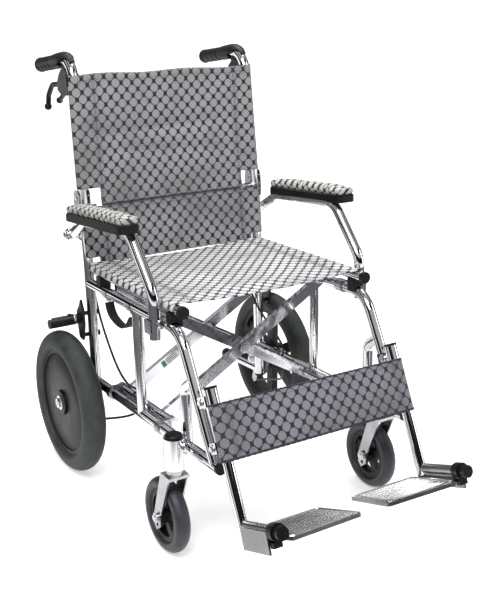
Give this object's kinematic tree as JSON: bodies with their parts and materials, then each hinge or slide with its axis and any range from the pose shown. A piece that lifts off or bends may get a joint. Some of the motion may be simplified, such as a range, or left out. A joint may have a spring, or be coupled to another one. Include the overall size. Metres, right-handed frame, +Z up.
{
  "type": "transport wheelchair",
  "caption": "Scissor-folding transport wheelchair with patterned sling seat and back, flip-up armrests, small rear wheels, front casters, push handles with hand brakes and a calf strap.",
  "frame": {"origin": "centre of the footprint on the floor, halfway between the front of the footrests and the rear of the push handles", "axes": "+Z up, the occupant faces -Y, +X is the occupant's left side"},
  "size_m": [0.602, 0.985, 0.9053],
  "materials": {
    "chrome": "polished chrome plating",
    "steel_bracket": "zinc-plated bracket",
    "aluminium_plate": "bead-blasted aluminium",
    "black_plastic": "matt black",
    "grip_rubber": "soft matt rubber",
    "rear_tyre": "grey-green rubber with tread",
    "caster_tyre": "smooth dark grey rubber",
    "rim_plastic": "moulded black",
    "fork_grey": "grey zinc-plated steel",
    "sling_fabric": "patterned nylon, light grey dots on near-black lines",
    "webbing": "black webbing",
    "cable_sheath": "black cable sheath"
  },
  "bodies": {
    "right_frame": {"side_frame_right": "chrome", "frame_plugs_right": "black_plastic", "brace_clamps_right": "steel_bracket", "back_hinge_right": "steel_bracket", "band_brake_right": "steel_bracket", "armrest_receiver_right": "steel_bracket", "footrest_hanger_right": "chrome", "parking_brake_base_right": "black_plastic", "brake_cable_right": "cable_sheath", "back_sling_lower": "sling_fabric", "calf_strap": "sling_fabric", "folding_strap": "webbing"},
    "rear_wheel_right": {"rear_tyre_right": "rear_tyre", "rear_rim_right": "rim_plastic"},
    "caster_fork_right": {"caster_fork_right": "fork_grey"},
    "caster_wheel_right": {"caster_tyre_right": "caster_tyre", "caster_hub_right": "rim_plastic"},
    "back_right": {"upper_cane_right": "chrome", "hand_grip_right": "grip_rubber", "brake_lever_bracket_right": "black_plastic", "back_sling_upper": "sling_fabric"},
    "hand_brake_right": {"brake_lever_right": "black_plastic"},
    "armrest_right": {"armrest_tube_right": "chrome", "armrest_base_right": "black_plastic", "armrest_cushion_right": "sling_fabric"},
    "parking_brake_right": {"parking_lever_right": "black_plastic"},
    "footrest_right": {"footrest_extension_right": "chrome"},
    "footplate_right": {"footplate_right": "aluminium_plate", "footplate_caps_right": "black_plastic"},
    "left_frame": {"side_frame_left": "chrome", "frame_plugs_left": "black_plastic", "brace_clamps_left": "steel_bracket", "back_hinge_left": "steel_bracket", "band_brake_left": "steel_bracket", "armrest_receiver_left": "steel_bracket", "footrest_hanger_left": "chrome", "parking_brake_base_left": "black_plastic", "brake_cable_left": "cable_sheath"},
    "rear_wheel_left": {"rear_tyre_left": "rear_tyre", "rear_rim_left": "rim_plastic"},
    "caster_fork_left": {"caster_fork_left": "fork_grey"},
    "caster_wheel_left": {"caster_tyre_left": "caster_tyre", "caster_hub_left": "rim_plastic"},
    "back_left": {"upper_cane_left": "chrome", "hand_grip_left": "grip_rubber", "brake_lever_bracket_left": "black_plastic"},
    "hand_brake_left": {"brake_lever_left": "black_plastic"},
    "armrest_left": {"armrest_tube_left": "chrome", "armrest_base_left": "black_plastic", "armrest_cushion_left": "sling_fabric"},
    "parking_brake_left": {"parking_lever_left": "black_plastic"},
    "footrest_left": {"footrest_extension_left": "chrome"},
    "footplate_left": {"footplate_left": "aluminium_plate", "footplate_caps_left": "black_plastic"},
    "brace_b": {"brace_b": "chrome", "rail_cap_left": "black_plastic", "seat_sling": "sling_fabric"},
    "brace_a": {"brace_a": "chrome", "rail_cap_right": "black_plastic"}
  },
  "joints": [
    {"name": "frame_fold", "type": "hinge", "parent": "right_frame", "child": "brace_b", "pos_m": [-0.19, 0.043, 0.21703], "axis": [0, -0.999, 0.0436], "range_deg": [0, 45], "deforming": ["seat_sling", "back_sling_upper", "back_sling_lower", "calf_strap"]},
    {"name": "brace_cross", "type": "hinge", "parent": "brace_b", "child": "brace_a", "pos_m": [0, 0.04779, 0.32662], "axis": [0, -0.999, 0.0436], "range_deg": [-90, 0]},
    {"name": "left_frame_hinge", "type": "hinge", "parent": "brace_a", "child": "left_frame", "pos_m": [0.19, 0.043, 0.21703], "axis": [0, -0.999, 0.0436], "range_deg": [0, 45]},
    {"name": "back_fold_right", "type": "hinge", "parent": "right_frame", "child": "back_right", "pos_m": [-0.212, 0.27317, 0.61237], "axis": [-1, 0, 0], "range_deg": [0, 90], "deforming": ["brake_cable_right", "brake_cable_left"]},
    {"name": "armrest_flip_right", "type": "hinge", "parent": "right_frame", "child": "armrest_right", "pos_m": [-0.237, 0.27805, 0.53408], "axis": [-1, 0, 0], "range_deg": [0, 95]},
    {"name": "rear_wheel_spin_right", "type": "hinge", "parent": "right_frame", "child": "rear_wheel_right", "pos_m": [-0.268, 0.27164, 0.158], "axis": [1, 0, 0], "continuous": true},
    {"name": "caster_swivel_right", "type": "hinge", "parent": "right_frame", "child": "caster_fork_right", "pos_m": [-0.246, -0.18636, 0.19], "axis": [0, 0, 1], "continuous": true},
    {"name": "caster_spin_right", "type": "hinge", "parent": "caster_fork_right", "child": "caster_wheel_right", "pos_m": [-0.246, -0.15236, 0.075], "axis": [1, 0, 0], "continuous": true},
    {"name": "hand_brake_right", "type": "hinge", "parent": "back_right", "child": "hand_brake_right", "pos_m": [-0.207, 0.35126, 0.83517], "axis": [1, 0, 0], "range_deg": [0, 20], "stiffness_Nm_per_rad": 0.5, "springref_deg": -22.92},
    {"name": "parking_brake_right", "type": "hinge", "parent": "right_frame", "child": "parking_brake_right", "pos_m": [-0.241, 0.25564, 0.352], "axis": [-1, 0, 0], "range_deg": [0, 21]},
    {"name": "footrest_length_right", "type": "slide", "parent": "right_frame", "child": "footrest_right", "axis": [0, -0.4446, -0.8957], "range_m": [0, 0.06]},
    {"name": "footplate_flip_right", "type": "hinge", "parent": "footrest_right", "child": "footplate_right", "pos_m": [-0.204, -0.36151, 0.1421], "axis": [0, -0.9311, 0.3649], "range_deg": [0, 90], "deforming": ["calf_strap"]},
    {"name": "back_fold_left", "type": "hinge", "parent": "left_frame", "child": "back_left", "pos_m": [0.212, 0.27317, 0.61237], "axis": [-1, 0, 0], "range_deg": [0, 90]},
    {"name": "armrest_flip_left", "type": "hinge", "parent": "left_frame", "child": "armrest_left", "pos_m": [0.237, 0.27805, 0.53408], "axis": [-1, 0, 0], "range_deg": [0, 95]},
    {"name": "rear_wheel_spin_left", "type": "hinge", "parent": "left_frame", "child": "rear_wheel_left", "pos_m": [0.268, 0.27164, 0.158], "axis": [1, 0, 0], "continuous": true},
    {"name": "caster_swivel_left", "type": "hinge", "parent": "left_frame", "child": "caster_fork_left", "pos_m": [0.246, -0.18636, 0.19], "axis": [0, 0, 1], "continuous": true},
    {"name": "caster_spin_left", "type": "hinge", "parent": "caster_fork_left", "child": "caster_wheel_left", "pos_m": [0.246, -0.15236, 0.075], "axis": [1, 0, 0], "continuous": true},
    {"name": "hand_brake_left", "type": "hinge", "parent": "back_left", "child": "hand_brake_left", "pos_m": [0.207, 0.35126, 0.83517], "axis": [1, 0, 0], "range_deg": [0, 20], "stiffness_Nm_per_rad": 0.5, "springref_deg": -22.92},
    {"name": "parking_brake_left", "type": "hinge", "parent": "left_frame", "child": "parking_brake_left", "pos_m": [0.241, 0.25564, 0.352], "axis": [-1, 0, 0], "range_deg": [0, 21]},
    {"name": "footrest_length_left", "type": "slide", "parent": "left_frame", "child": "footrest_left", "axis": [0, -0.4446, -0.8957], "range_m": [0, 0.06]},
    {"name": "footplate_flip_left", "type": "hinge", "parent": "footrest_left", "child": "footplate_left", "pos_m": [0.204, -0.36151, 0.1421], "axis": [0, 0.9311, -0.3649], "range_deg": [0, 90], "deforming": ["calf_strap"]}
  ],
  "couplings": [
    {"joint": "brace_cross", "follows": "frame_fold", "ratio": -2},
    {"joint": "left_frame_hinge", "follows": "frame_fold", "ratio": 1},
    {"joint": "footplate_flip_right", "follows": "frame_fold", "ratio": 2},
    {"joint": "footplate_flip_left", "follows": "frame_fold", "ratio": 2},
    {"joint": "back_fold_left", "follows": "back_fold_right", "ratio": 1}
  ]
}
